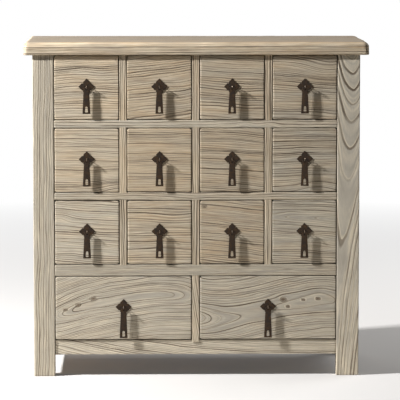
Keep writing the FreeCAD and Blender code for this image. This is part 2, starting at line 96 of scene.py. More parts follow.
# A divider stands this far behind the rails' faces.
DIVIDER_STEP = 0.3


def noise(points, seed):
    """Smooth random values from -1 to 1: a hash of the whole-number places round each point,
    blended by smoothstep along x, y and z."""
    cell = np.floor(points).astype(np.int64)
    part = points - cell
    part = part * part * (3 - 2 * part)
    total = np.zeros(len(points))
    for corner in np.ndindex(2, 2, 2):
        key = (cell + corner) * (73856093, 19349663, 83492791)
        mixed = (key[:, 0] ^ key[:, 1] ^ key[:, 2] ^ (seed * 97003)) & 0x7FFFFFFF
        mixed = (mixed * 48271 + 11) & 0x7FFFFFFF
        mixed = ((mixed >> 11) ^ mixed) * 60493 & 0x7FFFFFFF
        share = np.where(np.array(corner) == 1, part, 1 - part).prod(1)
        total += share * (mixed / 0x3FFFFFFF - 1)
    return total


def lines(low, high, step, edge):
    """Places of lattice lines from low to high: close together in the two rounded edges,
    about a step apart between them. A span with no room for both edges has seven even lines."""
    if high - low < 2.4 * edge:
        return np.linspace(low, high, 7)
    round_in = edge * EDGE_LINES
    count = max(1, round((high - low - 2 * edge) / step))
    middle = np.linspace(low + edge, high - edge, count + 1)
    return np.concatenate([low + round_in, middle, high - round_in[::-1]])


def skin(filled):
    """The skin of a block of cells: lattice places (i, j, k), and the quads between a filled
    cell and an empty one, seen from outside."""
    padded = np.pad(filled, 1)
    quads = []
    for axis in range(3):
        for side in (0, 1):
            beside = np.roll(padded, 1 - 2 * side, axis)
            cells = np.argwhere(padded & ~beside) - 1
            cells[:, axis] += side
            round_quad = [(0, 0), (1, 0), (1, 1), (0, 1)]
            corners = np.zeros((4, 3), int)
            for i, (across, up) in enumerate(round_quad if side else round_quad[::-1]):
                corners[i, (axis + 1) % 3] = across
                corners[i, (axis + 2) % 3] = up
            quads.append(cells[:, None, :] + corners)
    quads = np.concatenate(quads)
    shape = np.array(filled.shape) + 1
    codes = (quads[..., 0] * shape[1] + quads[..., 1]) * shape[2] + quads[..., 2]
    known, index = np.unique(codes.ravel(), return_inverse=True)
    places = np.stack([known // (shape[1] * shape[2]), known // shape[2] % shape[1], known % shape[2]], 1)
    return places, index.reshape(-1, 4)


def solids(node):
    """The boxes of a CAD node's separate solids, as rows of (low, high) in millimetres: the
    mesh's triangles are welded where they meet, and each vertex takes its neighbours' lowest
    label until nothing changes."""
    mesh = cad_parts[node].data
    places = np.zeros(len(mesh.vertices) * 3)
    mesh.vertices.foreach_get("co", places)
    places = places.reshape(-1, 3) / MM
    corners = np.zeros(len(mesh.loops), int)
    mesh.loops.foreach_get("vertex_index", corners)
    _, weld = np.unique(np.round(places * 100), axis=0, return_inverse=True)
    triangles = weld.ravel()[corners].reshape(-1, 3)
    label = np.arange(weld.max() + 1)
    while True:
        lowest = label[triangles].min(1)
        new = label.copy()
        for i in range(3):
            np.minimum.at(new, triangles[:, i], lowest)
        if (new == label).all():
            break
        label = new
    owner = label[weld.ravel()]
    return [
        (places[owner == one].min(0), places[owner == one].max(0)) for one in np.unique(owner)
    ]


# How the year rings lie in a board: the pith's place across the board and its depth behind the
# face, each a polynomial of the place along the grain in decimetres, highest power first; the
# mean ring width; how wavy the grain is; knots as (along, across, radius) from the middle; and
# swells, where the grain is lifted, as (along, across, lift, reach along, reach across).
# tone is the board's lightness, which on the side boards is painted shade, its warmth and how much light
# it loses per decimetre across; face is how much lighter its flat show face is painted than its edges,
# which on the top is painted shade against the grazing lamp, and bold widens its ring lines.
STRAIGHT = {
    "across": (0.0, 2.0, -150.0), "depth": (0.0, 0.0, 60.0), "ring": 6.0, "wave": 3.0,
    "knots": (), "swells": (), "tone": (0.0, 0.0, 0.0), "face": 0.0, "bold": 1.0,
}


def figure(**changes):
    """A straight-grained board's figure with some facts changed."""
    return dict(STRAIGHT, **changes)


def ring_field(along, across, depth, wood, seed):
    """The number of year rings between the pith and each point, and how much of a knot it is.

    The distance from the pith's line is hypot(across - pith(along), depth + pith_depth(along)).
    Round a knot the grain parts: the distance across from it shrinks by 1 - exp(-(r / 1.7R)^2).
    A swell shifts the grain by lift exp(-r^2), r counted in its reaches.
    Noise along the board bends the grain, and noise over the ring widths makes years differ;
    it is weaker where the rings lie flat, by the sine |beside| / off_pith of their slope.
    """
    far = np.zeros_like(along)
    long = along / DECIMETRE
    knot = np.zeros_like(along)
    for place, height, radius in wood["knots"]:
        reach = np.hypot((along - place) / 1.5, across - height) / radius
        across = across + (height - across) * np.exp(-((reach / 1.7) ** 2))
        knot = np.maximum(knot, np.clip(1.6 - 1.3 * reach, 0, 1))
    for place, height, lift, reach_along, reach_across in wood["swells"]:
        reach = ((along - place) / reach_along) ** 2 + ((across - height) / reach_across) ** 2
        across = across - lift * np.exp(-reach)
    bend = noise(np.stack([along / SLOW_BEND, far, far + 0.5], 1), seed)
    quick = np.stack([along / QUICK_BEND[0], across / QUICK_BEND[1], far], 1)
    bend = wood["wave"] * (bend + 0.35 * noise(quick, seed + 1))
    beside = across - np.polyval(wood["across"], long) - bend
    off_pith = np.hypot(beside, depth + np.polyval(wood["depth"], long))
    slow = np.stack([along / SLOW_WARP[0], across / SLOW_WARP[1], depth / SLOW_WARP[1]], 1)
    quick = np.stack([along / QUICK_WARP[0], across / QUICK_WARP[1], depth / QUICK_WARP[1]], 1)
    warp = noise(slow, seed + 2) + 0.4 * noise(quick, seed + 3)
    rings = off_pith / wood["ring"] + 0.3 * warp * np.maximum(np.abs(beside) / off_pith, 0.25)
    years = noise(np.stack([rings / YEARS_ALIKE, far, far], 1), seed + 4)
    return rings + 0.42 * years + 6 * knot, knot


def board(
    low, high, grain, face, wood, seed,
    radius=ARRIS, back_radius=None, corner=0.0, painted_gap_shade=0.0, fine=1.0, worn=1.0,
):
    """A worn board between two corners. grain is the axis that its fibres follow and face the
    axis and side, such as (Y, -1), of its show face.

    Each lattice point p of the box's skin goes to q + r n, where q is p kept r inside the box
    and n the direction from q to p, so flat faces stay and edges and corners are round. r strays
    along an edge. The rings' soft parts and the edges' stray wear then take a little off along n.
    Seen from the face, a corner is round by the larger radius: there a point at d from the round's middle
    goes to d max(|dx|, |dz|) / |d|. The gap shade argument paints shade on the faces round the show face,
    where they look into the gaps, and flat is 1 on the show face itself and falls to 0 where its round
    has turned 26 degrees.
    fine widens the lattice's steps, and worn scales all wear.
    """
    low, high = np.array(low, float), np.array(high, float)
    side = high - low
    axis, sign = face
    wide = 3 - grain - axis
    steps = np.full(3, FINE_ACROSS) * fine
    steps[grain] = FINE_ALONG * fine
    back_radius = radius if back_radius is None else back_radius
    edges = [min(max(radius, back_radius, 1.0), 0.3 * length) for length in side]
    spans = [lines(low[i], high[i], steps[i], edges[i]) for i in range(3)]
    places, quads = skin(np.ones([len(span) - 1 for span in spans], bool))
    points = np.stack([spans[i][places[:, i]] for i in range(3)], 1)
    behind = (points[:, axis] - low[axis]) / side[axis]
    behind = behind if sign < 0 else 1 - behind
    stray = noise(points / ROUND_VARIES + seed, seed + 7)
    rounding = (radius + (back_radius - radius) * behind) * (1 + 0.3 * worn * stray)
    rounding = np.minimum(rounding, 0.45 * side.min())[:, None]
    inside = np.clip(points, low + rounding, high - rounding)
    out = points - inside
    out /= np.linalg.norm(out, axis=1)[:, None]

    middle = (low + high) / 2
    along, across = points[:, grain] - middle[grain], points[:, wide] - middle[wide]
    depth = behind * side[axis]
    rings, knot = ring_field(along, across, depth, wood, seed)
    slow, quick = WEAR_VARIES
    stray = noise(points / slow, seed + 8) + 0.5 * noise(points / quick, seed + 9)
    sideways = 1 - np.abs(out[:, axis])
    relief = RING_WEAR * (0.5 + 0.5 * np.cos(2 * math.pi * rings)) * worn
    relief += EDGE_WEAR * worn * sideways * np.clip(0.5 + 0.5 * stray, 0, 1)
    points = inside + (rounding - relief[:, None]) * out
    if corner:
        plane = [grain, wide]
        flat = points[:, plane]
        away = flat - np.clip(flat, low[plane] + corner, high[plane] - corner)
        square = np.abs(away).max(1) / np.maximum(np.hypot(*away.T), 1e-9)
        points[:, plane] = flat - away * (1 - square)[:, None]

    edge = (1 - np.abs(out).max(1)) / (1 - math.sqrt(1 / 3))
    # dull: end grain is duller, and the faces round the show face, which look into the gaps, take painted
    # shade.
    dull = out[:, grain] ** 2 + painted_gap_shade * np.clip(2.5 * sideways - 1.5, 0, 1)
    flat = np.clip(10 * sign * out[:, axis] - 9, 0, 1)
    return piece_of(points, quads, (along, across, depth), (rings, knot, edge), wood, dull, seed, flat)


def rings_per_mm(points, quads, rings):
    """How fast the ring number changes over the surface at each point: in a quad, the mean slopes
    of its two pairs of sides make one steepness, and a point takes the mean of its quads'."""
    corner, ring = points[quads], rings[quads]
    length = np.linalg.norm(np.roll(corner, -1, 1) - corner, axis=2)
    shortest, least = 0.2, 0.01
    slope = np.abs(np.roll(ring, -1, 1) - ring) / np.maximum(length, shortest)
    steep = np.hypot(slope[:, ::2].mean(1), slope[:, 1::2].mean(1))
    total = np.bincount(quads.ravel(), np.repeat(steep, 4), len(points))
    return np.maximum(total / np.bincount(quads.ravel(), minlength=len(points)), least)


def piece_of(points, quads, grain, rings, wood, dull, seed, flat=0.0):
    """A piece with what its material reads: its place in the board, its ring number, knot and how far
    round a corner it lies, the board's tone with how dull end grain makes it and how much painted shade
    darkens its faces in the gaps, and the rings per mm. flat is 1 on the flat of the show face, which on
    the top is painted darker as painted shade. Places and ring numbers are shifted by the seed, so that
    no two boards show the same wood."""
    steep = rings_per_mm(points, quads, rings[0]) * wood["bold"]
    light, warm, fall = wood["tone"]
    # On the top the flat of the show face is painted darker: painted shade against the grazing lamp.
    light = light - fall * grain[1] / DECIMETRE + wood["face"] * flat
    place = np.stack(grain, 1) + 1000.0 * (seed % 37)
    rings = np.stack([rings[0] + 50.0 * (seed % 31), rings[1], rings[2]], 1)
    tone = np.stack([light, np.full(len(points), warm), dull], 1)
    piece = {"points": points, "quads": quads, "grain": place, "figure": rings, "tone": tone}
    return dict(piece, steep=steep)


def tailed_side(low, high, shoulder, wood, seed):
    """A drawer side with dovetails at its front end: a block of cells whose first layer, from
    the tails' tips to the shoulder, is filled only at the tails. The tails' edges flare there."""
    pitch = (high[Z] - low[Z]) / TAILS
    rows, inside = [low[Z]], []
    for i in range(TAILS):
        root = low[Z] + i * pitch + TAIL_GAP / 2, low[Z] + (i + 1) * pitch - TAIL_GAP / 2
        inside += [False, True, True, True]
        rows += [root[0], *np.linspace(*root, 4)[1:3], root[1]]
    inside.append(False)
    steps = np.arange(shoulder, high[Y] - TAILED_STEP / 2, TAILED_STEP)
    spans = [
        np.array([low[X], high[X]]),
        np.concatenate([[low[Y]], steps, [high[Y]]]),
        np.array(rows + [high[Z]]),
    ]
    filled = np.ones([len(span) - 1 for span in spans], bool)
    filled[:, 0, :] = inside
    places, quads = skin(filled)
    points = np.stack([spans[i][places[:, i]] for i in range(3)], 1)
    at_tip = places[:, Y] == 0
    edge = (places[:, Z] - 1) % 4
    points[:, Z] += TAIL_FLARE * at_tip * ((edge == 3) * 1.0 - (edge == 0) * 1.0)
    middle = (low + high) / 2
    along, depth, across = [points[:, i] - middle[i] for i in (Y, X, Z)]
    rings, knot = ring_field(along, across, depth, wood, seed)
    end = (places[:, Y] == len(spans[Y]) - 1) * 1.0
    return piece_of(points, quads, (along, across, depth), (rings, knot, 0 * rings), wood, end, seed)


def wire(path, radius, side):
    """A round wire: each ring stands square to the path, p + r (cos a side + sin a (t x side)),
    where t is the path's direction and side a direction square to the whole path. Three quads
    close each end, which has eight sides."""
    path, side = np.array(path, float), np.array(side, float)
    forward = np.gradient(path, axis=0)
    forward /= np.linalg.norm(forward, axis=1)[:, None]
    turn = 2 * math.pi * np.arange(WIRE_SIDES) / WIRE_SIDES
    up = np.cross(forward, side)
    ring = np.cos(turn)[None, :, None] * side + np.sin(turn)[None, :, None] * up[:, None, :]
    points = (path[:, None, :] + radius * ring).reshape(-1, 3)
    row, column = np.meshgrid(np.arange(len(path) - 1), np.arange(WIRE_SIDES), indexing="ij")
    beside = (column + 1) % WIRE_SIDES
    quads = [row * WIRE_SIDES + column, row * WIRE_SIDES + beside]
    quads += [quads[1] + WIRE_SIDES, quads[0] + WIRE_SIDES]
    cap = np.array([(0, 1, 2, 3), (0, 3, 4, 7), (7, 4, 5, 6)])
    walls = np.stack(quads, -1).reshape(-1, 4)
    ends = np.concatenate([cap[:, ::-1], cap + (len(path) - 1) * WIRE_SIDES])
    return {"points": points, "quads": np.concatenate([walls, ends])[:, ::-1]}


def split_pin(middle, tip):
    """An iron wire doubled to a pin. Its eye is the drop y = -L (1 - cos a) / 2,
    z = B sin a sin(a / 2) + r cos(a / 2); its legs pass through the front and bend apart."""
    reach = tip - WIRE_RADIUS
    angle = np.linspace(math.pi, 2 * math.pi, 20)
    out = -reach * (1 - np.cos(angle)) / 2
    height = EYE_BULGE * np.sin(angle) * np.sin(angle / 2) + WIRE_RADIUS * np.cos(angle / 2)
    turn = np.linspace(0, math.pi / 2, 5)
    behind = FRONT_THICK + WIRE_RADIUS
    bend_y = behind - BEND_RADIUS * (1 - np.sin(turn))
    bend_z = -WIRE_RADIUS - BEND_RADIUS * (1 - np.cos(turn))
    along = np.concatenate([out, bend_y, [behind]])
    down = np.concatenate([height, bend_z, [-LEG_LENGTH]])
    half = np.stack([along, down], 1)
    other = half[:0:-1] * (1, -1)
    flat = np.concatenate([other, half])
    path = np.stack([np.zeros(len(flat)), flat[:, 0], flat[:, 1] - EYE_DROP], 1)
    return wire(path + middle, WIRE_RADIUS, (1, 0, 0))


def hammered_plate(middle, seed):
    """A square plate standing on its corner. A lattice (u, v) from -1 to 1 lies on it, with
    x = (u + v) c / 2 and z = (v - u) c / 2; at a side's middle the lattice draws in to a nick,
    and the face is crowned by 1 - max(|u|, |v|)^2 and dented by noise."""
    side = PLATE_CORNER * math.sqrt(2) / 2
    mouth = NICK_HALF_WIDTH * math.sqrt(2) / side
    inward = NICK_DEPTH * math.sqrt(2) / side
    half = np.array([0, mouth / 2, mouth, 0.3, 0.45, 0.6, 0.75, 0.88, 1])
    spans = np.concatenate([-half[:0:-1], half])
    places, quads = skin(np.ones((len(spans) - 1, 1, len(spans) - 1), bool))
    u, v = spans[places[:, 0]], spans[places[:, 2]]
    edge = np.maximum(np.abs(u), np.abs(v))
    drawn_u = u * (1 - inward * np.clip(1 - np.abs(v) / mouth, 0, 1) * np.abs(u) ** 5)
    drawn_v = v * (1 - inward * np.clip(1 - np.abs(u) / mouth, 0, 1) * np.abs(v) ** 5)
    x, z = (drawn_u + drawn_v) * PLATE_CORNER / 2, (drawn_v - drawn_u) * PLATE_CORNER / 2
    dents = HAMMERED * noise(np.stack([x, z, 0 * x], 1) / PLATE_DENTS, seed)
    y = (places[:, 1] == 0) * (PLATE_CROWN * edge**2 - PLATE_THICK + np.abs(dents))
    return {"points": np.stack([x, y, z], 1) + middle, "quads": quads}


def strip_pull(bar, length, seed):
    """A flat strip that widens downwards. A lattice covers it, in rows down the strip and
    columns across; the middle third of the columns is as wide as the fork at its head and the
    slot at its foot, and cells are left out at both. Near a slot's end or the foot, a width
    shrinks by r - sqrt(r^2 - (r - d)^2), where d is the distance from that end, which rounds
    the corner."""

    def shrink(distance, radius):
        left = np.clip(radius - distance, 0, radius)
        return radius - np.sqrt(radius**2 - left**2)

    slot_low = length - SLOT_MARGIN
    slot_high = slot_low - SLOT_HEIGHT
    rounds = SLOT_ROUND * np.array([0, 0.12, 0.4, 1])
    rows = np.concatenate([
        [0, FORK_DEPTH / 2, FORK_DEPTH], np.linspace(FORK_DEPTH, slot_high - 2, 9)[1:],
        slot_high + rounds, np.linspace(slot_high, slot_low, 5)[2:4], slot_low - rounds[::-1],
        length - FOOT_ROUND * np.array([1, 0.4, 0.12, 0]),
    ])
    third = 1 / 3
    columns = np.array([-1, -0.75, -0.5, -third, -0.15, 0.15, third, 0.5, 0.75, 1])
    filled = np.ones((len(columns) - 1, 1, len(rows) - 1), bool)
    inner = np.abs(columns[:-1] + columns[1:]) / 2 < third
    top, foot = rows[:-1], rows[1:]
    open_rows = (foot <= FORK_DEPTH) | ((top >= slot_high) & (foot <= slot_low))
    filled[inner[:, None, None] & open_rows[None, None, :]] = False
    places, quads = skin(filled)
    down, across = rows[places[:, 2]], columns[places[:, 0]]
    half = np.interp(down, [0, length], [PULL_TOP_WIDTH / 2, PULL_BOTTOM_WIDTH / 2])
    half -= shrink(length - down, FOOT_ROUND)
    gap = np.interp(
        down, [FORK_DEPTH, slot_high, slot_low],
        [FORK_WIDTH / 2, SLOT_TOP_WIDTH / 2, SLOT_BOTTOM_WIDTH / 2],
    )
    from_slot_end = np.minimum(np.abs(down - slot_high), np.abs(down - slot_low))
    gap -= shrink(from_slot_end, SLOT_ROUND)
    beyond = np.clip(np.abs(across) - third, 0, 1) / (1 - third)
    x = np.sign(across) * (np.minimum(np.abs(across) / third, 1) * gap + beyond * (half - gap))
    dents = HAMMERED * noise(np.stack([x / PULL_DENTS[0], down / PULL_DENTS[1], 0 * x], 1), seed)
    front = places[:, 1] == 0
    y = np.where(front, PULL_CROWN * across**2 - PULL_THICK / 2 + np.abs(dents), PULL_THICK / 2)
    strip = {"points": np.stack([x, y, -down], 1) + bar, "quads": quads}
    ends = np.array([[-PULL_TOP_WIDTH / 2, 0, 0], [0, 0, 0], [PULL_TOP_WIDTH / 2, 0, 0]]) + bar
    return [strip, wire(ends, BAR_RADIUS, (0, 0, 1))]


def mesh_of(name, pieces, material, sharp=None):
    """One object from pieces given as dicts of points, quads and attributes, in millimetres."""
    count = 0
    quads = []
    for piece in pieces:
        quads.append(piece["quads"] + count)
        count += len(piece["points"])
    points = np.concatenate([piece["points"] for piece in pieces]) * MM
    mesh = bpy.data.meshes.new(name)
    mesh.from_pydata(points, [], np.concatenate(quads))
    mesh.polygons.foreach_set("use_smooth", np.ones(len(mesh.polygons), bool))
    for kind in pieces[0]:
        if kind not in ("points", "quads"):
            values = np.concatenate([piece[kind] for piece in pieces]).astype(np.float32)
            shape, key = ("FLOAT_VECTOR", "vector") if values.ndim == 2 else ("FLOAT", "value")
            layer = mesh.attributes.new(kind, shape, "POINT")
            layer.data.foreach_set(key, values.ravel())
    mesh.materials.append(material)
    if sharp:
        mesh.set_sharp_from_angle(angle=math.radians(sharp))
    thing = bpy.data.objects.new(name, mesh)
    bpy.context.scene.collection.objects.link(thing)
    return thing


def bevel(thing, width):
    """Breaks a forged piece's sharp edges."""
    change = thing.modifiers.new("broken_edges", "BEVEL")
    change.width = width * MM
    change.segments = 2
    change.limit_method = "ANGLE"
    change.angle_limit = math.radians(SHARP_IRON)


def fit(thing, body, node):
    """The piece rides on its body and stands for its CAD node, which it hides."""
    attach(thing, body)
    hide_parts(node)


def linear(colour):
    """An sRGB hex colour as the linear values that shaders take."""
    parts = [int(colour[i : i + 2], 16) / 255 for i in (1, 3, 5)]
    return [p / 12.92 if p <= 0.04045 else ((p + 0.055) / 1.055) ** 2.4 for p in parts] + [1.0]


def add(tree, kind, inputs, **settings):
    """Adds a shader node: settings are its properties, inputs its sockets' values, or the other
    sockets that they are linked to."""
    node = tree.nodes.new("ShaderNode" + kind)
    for key, value in settings.items():
        setattr(node, key, value)
    for key, value in inputs.items():
        if isinstance(value, bpy.types.NodeSocket):
            tree.links.new(value, node.inputs[key])
        else:
            node.inputs[key].default_value = value
    return node.outputs


def new_material(name):
    """A material and its empty node tree."""
    material = bpy.data.materials.new(name)
    material.use_nodes = True
    material.node_tree.nodes.clear()
    return material, material.node_tree


# Sizes in the elm, in millimetres along and across the grain: bundles of fibres, drawn about ten
# times as wide as real ones, which wouldn't show, and patches of greyer or warmer wood.
FIBRE = 26.0, 1.3
PATCH = 150.0, 30.0
# Along the grain a line of pores comes and goes, and so do finer streaks; both change from ring
# to ring too.
FADE_LENGTH, FADES_PER_RING = 90.0, 0.7
STREAK_LENGTH, STREAKS_PER_RING = 100.0, 2.2
# Where a line ends, in widths of the line, and in millimetres where the pale wood beside it
# starts to go and is gone.
LINE_ENDS = 0.9, 1.7
PALE_ENDS = 0.5, 3.6
# How strong the faintest year's line is, and how strong a line is where it has faded.
FAINTEST, FADED = 0.42, 0.45
KNOT_COLOUR = "#5E4C3B"


def weathered_elm(name, body, grey, pale, line, line_depth, streaks):
    """Elm left raw, bleached by light and brushed along the grain, so the open pores of each year's early
    wood stand as dark lines between smooth pale bands; beside each line the pale is partly a painted
    highlight of the brushed ridges. Dry, with no sheen. line_depth is how dark the lines are, and streaks
    how strong the pale bands."""
    material, tree = new_material(name)
    grain = add(tree, "Attribute", {}, attribute_name="grain")["Vector"]
    ring, knot, corner = add(
        tree, "SeparateXYZ", {0: add(tree, "Attribute", {}, attribute_name="figure")["Vector"]}
    ).values()
    light, warm, end_grain_and_gap_shade = add(
        tree, "SeparateXYZ", {0: add(tree, "Attribute", {}, attribute_name="tone")["Vector"]}
    ).values()
    along = add(tree, "SeparateXYZ", {0: grain})["X"]

    # The years: at each whole ring number a dark line of pores starts sharply, a millimetre or two wide
    # whatever the ring's width, and the wood is pale on both sides of it, partly bleached wood and partly
    # a painted highlight of the brushed ridges beside the pores. past and ahead are the millimetres from
    # the last ring's start and to the next one's.
    steep = add(tree, "Attribute", {}, attribute_name="steep")["Fac"]
    cells = (1 / FIBRE[0], 1 / FIBRE[1], 1 / FIBRE[1])
    fine = add(tree, "VectorMath", {0: grain, 1: cells}, operation="MULTIPLY")["Vector"]
    fibre = add(tree, "TexNoise", {"Vector": fine, "Scale": 1.0, "Detail": 3.0})[0]
    ragged = add(tree, "Math", {0: fibre, 1: steep}, operation="MULTIPLY")[0]
    rough_ring = add(tree, "Math", {0: ragged, 1: 0.9, 2: ring}, operation="MULTIPLY_ADD")[0]
    year = add(tree, "Math", {0: rough_ring}, operation="FLOOR")[0]
    within = add(tree, "Math", {0: rough_ring}, operation="FRACT")[0]
    past = add(tree, "Math", {0: within, 1: steep}, operation="DIVIDE")[0]
    ahead = add(tree, "Math", {0: within, 1: -1.0, 2: 1.0}, operation="MULTIPLY_ADD")[0]
    ahead = add(tree, "Math", {0: ahead, 1: steep}, operation="DIVIDE")[0]
    lot = add(tree, "TexWhiteNoise", {"W": year}, noise_dimensions="1D")["Value"]
    lot = add(tree, "Math", {0: lot, 1: 1.3}, operation="POWER")[0]
    strength = add(tree, "MapRange", {"Value": lot, 3: FAINTEST, 4: 1.0})[0]
    width = add(tree, "MapRange", {"Value": lot, 3: LINE_WIDTH[0], 4: LINE_WIDTH[1]})[0]
    slack = add(tree, "Math", {0: 0.03, 1: steep}, operation="DIVIDE")[0]
    width = add(tree, "Math", {0: width, 1: slack}, operation="ADD")[0]
    widths = add(tree, "Math", {0: past, 1: width}, operation="DIVIDE")[0]
    pores = add(
        tree, "MapRange", {"Value": widths, 1: LINE_ENDS[0], 2: LINE_ENDS[1], 3: 1.0, 4: 0.0},
        interpolation_type="SMOOTHSTEP",
    )[0]
    slow = add(
        tree, "CombineXYZ",
        {
            0: add(tree, "Math", {0: along, 1: 1 / FADE_LENGTH}, operation="MULTIPLY")[0],
            1: add(tree, "Math", {0: ring, 1: FADES_PER_RING}, operation="MULTIPLY")[0],
        },
    )[0]
    fade = add(tree, "TexNoise", {"Vector": slow, "Scale": 1.0, "Detail": 2.0})[0]
    fade = add(tree, "MapRange", {"Value": fade, 1: 0.34, 2: 0.56, 3: FADED, 4: 1.0})[0]
    lined = add(tree, "Math", {0: pores, 1: strength}, operation="MULTIPLY")[0]
    lined = add(tree, "Math", {0: lined, 1: fade}, operation="MULTIPLY")[0]
    nearest = add(tree, "Math", {0: past, 1: ahead}, operation="MINIMUM")[0]
    pale_ridge_and_highlight = add(
        tree, "MapRange", {"Value": nearest, 1: PALE_ENDS[0], 2: PALE_ENDS[1], 3: 0.5, 4: 0.0},
        interpolation_type="SMOOTHSTEP",
    )[0]
    pale_ridge_and_highlight = add(tree, "Math", {0: pale_ridge_and_highlight, 1: fade}, operation="MULTIPLY")[0]
    pale_ridge_and_highlight = add(tree, "Math", {0: pale_ridge_and_highlight, 1: streaks}, operation="MULTIPLY")[0]

    # Finer streaks follow the rings, and patches are greyer or warmer.
    quick = add(
        tree, "CombineXYZ",
        {
            0: add(tree, "Math", {0: along, 1: 1 / STREAK_LENGTH}, operation="MULTIPLY")[0],
            1: add(tree, "Math", {0: ring, 1: STREAKS_PER_RING}, operation="MULTIPLY")[0],
            2: 7.0,
        },
    )[0]
    streak = add(tree, "TexNoise", {"Vector": quick, "Scale": 1.0, "Detail": 3.0})[0]
    close = add(tree, "MapRange", {"Value": steep, 1: 0.02, 2: 0.12, 3: 0.25 * streaks, 4: streaks})[0]
    cells = (1 / PATCH[0], 1 / PATCH[1], 1 / PATCH[1])
    broad = add(tree, "VectorMath", {0: grain, 1: cells}, operation="MULTIPLY")["Vector"]
    patch = add(tree, "TexNoise", {"Vector": broad, "Scale": 1.0, "Detail": 3.0})[0]
    greyness = add(tree, "MapRange", {"Value": patch, 1: 0.36, 2: 0.66, 3: 0.15, 4: 0.75})[0]
    greyness = add(tree, "Math", {0: greyness, 1: warm}, operation="SUBTRACT", use_clamp=True)[0]
    colour = add(
        tree, "Mix", {"Factor": greyness, 6: linear(body), 7: linear(grey)}, data_type="RGBA"
    )[2]
    bleach_and_ridge_highlight = add(tree, "MapRange", {"Value": streak, 1: 0.48, 2: 0.64, 3: 0.0, 4: 0.65})[0]
    bleach_and_ridge_highlight = add(tree, "Math", {0: bleach_and_ridge_highlight, 1: close}, operation="MULTIPLY")[0]
    # The pale beside each line is partly bleached wood and partly a painted highlight of the brushed
    # ridges.
    bleach_and_ridge_highlight = add(tree, "Math", {0: bleach_and_ridge_highlight, 1: pale_ridge_and_highlight}, operation="MAXIMUM")[0]
    colour = add(tree, "Mix", {"Factor": bleach_and_ridge_highlight, 6: colour, 7: linear(pale)}, data_type="RGBA")[2]
    dull = add(tree, "MapRange", {"Value": streak, 1: 0.46, 2: 0.32, 3: 0.0, 4: 0.4})[0]
    dull = add(tree, "Math", {0: dull, 1: close}, operation="MULTIPLY")[0]
    colour = add(tree, "Mix", {"Factor": dull, 6: colour, 7: linear(line)}, data_type="RGBA")[2]
    lined = add(tree, "Math", {0: lined, 1: line_depth}, operation="MULTIPLY")[0]
    colour = add(tree, "Mix", {"Factor": lined, 6: colour, 7: linear(line)}, data_type="RGBA")[2]
    dark_knot = add(tree, "Math", {0: knot, 1: 0.75}, operation="MULTIPLY")[0]
    colour = add(
        tree, "Mix", {"Factor": dark_knot, 6: colour, 7: linear(KNOT_COLOUR)}, data_type="RGBA"
    )[2]

    # Rounded corners are painted a little darker, as dirt and as painted shade that damps the lamp's
    # highlight on them; end grain is duller and the faces in the gaps take painted shade; fine fibres
    # speckle it all.
    speckle = add(tree, "MapRange", {"Value": fibre, 1: 0.3, 2: 0.7, 3: 0.9, 4: 1.1})[0]
    bright = add(tree, "Math", {0: corner, 1: -0.1, 2: speckle}, operation="MULTIPLY_ADD")[0]
    bright = add(tree, "Math", {0: end_grain_and_gap_shade, 1: -0.2, 2: bright}, operation="MULTIPLY_ADD")[0]
    bright = add(tree, "Math", {0: bright, 1: light}, operation="ADD")[0]
    colour = add(tree, "VectorMath", {0: colour, "Scale": bright}, operation="SCALE")["Vector"]

    fuzz = add(tree, "Math", {0: fibre, 1: 0.4}, operation="MULTIPLY")[0]
    height = add(tree, "Math", {0: lined, 1: -1.0, 2: fuzz}, operation="MULTIPLY_ADD")[0]
    bump = add(tree, "Bump", {"Height": height, "Strength": 0.8, "Distance": 0.5 * MM})[0]
    shine = add(tree, "MapRange", {"Value": streak, 3: 0.68, 4: 0.9})[0]
    surface = add(
        tree, "BsdfPrincipled",
        {"Base Color": colour, "Roughness": shine, "Specular IOR Level": 0.25, "Normal": bump},
    )[0]
    add(tree, "OutputMaterial", {"Surface": surface})
    return material


# How wide the softwood's rings are, and over what length they stay the same.
SOFTWOOD_RING, SOFTWOOD_LENGTH = 6.0, 160.0


def sawn_wood(name, axis):
    """Cheap softwood for what hides inside, sawn and never finished: even tan with faint rings
    along its grain, which runs along the axis."""
    material, tree = new_material(name)
    place = add(tree, "TexCoord", {})["Object"]
    stretch = 3 * [1 / (SOFTWOOD_RING * MM)]
    stretch[axis] = 1 / (SOFTWOOD_LENGTH * MM)
    place = add(tree, "VectorMath", {0: place, 1: stretch}, operation="MULTIPLY")["Vector"]
    rings = add(tree, "TexNoise", {"Vector": place, "Scale": 1.0, "Detail": 4.0, "Distortion": 0.4})[0]
    shade = add(tree, "MapRange", {"Value": rings, 1: 0.3, 2: 0.7, 3: 0.0, 4: 1.0})[0]
    colour = add(
        tree, "Mix", {"Factor": shade, 6: linear("#8C7459"), 7: linear("#B89C78")}, data_type="RGBA"
    )[2]
    bump = add(tree, "Bump", {"Height": rings, "Strength": 0.4, "Distance": 0.4 * MM})[0]
    surface = add(
        tree, "BsdfPrincipled",
        {"Base Color": colour, "Roughness": 0.85, "Specular IOR Level": 0.25, "Normal": bump},
    )[0]
    add(tree, "OutputMaterial", {"Surface": surface})
    return material


# How wide the iron's pits and its patches of rust are.
PIT_WIDTH, RUST_PATCH = 2.5, 9.0


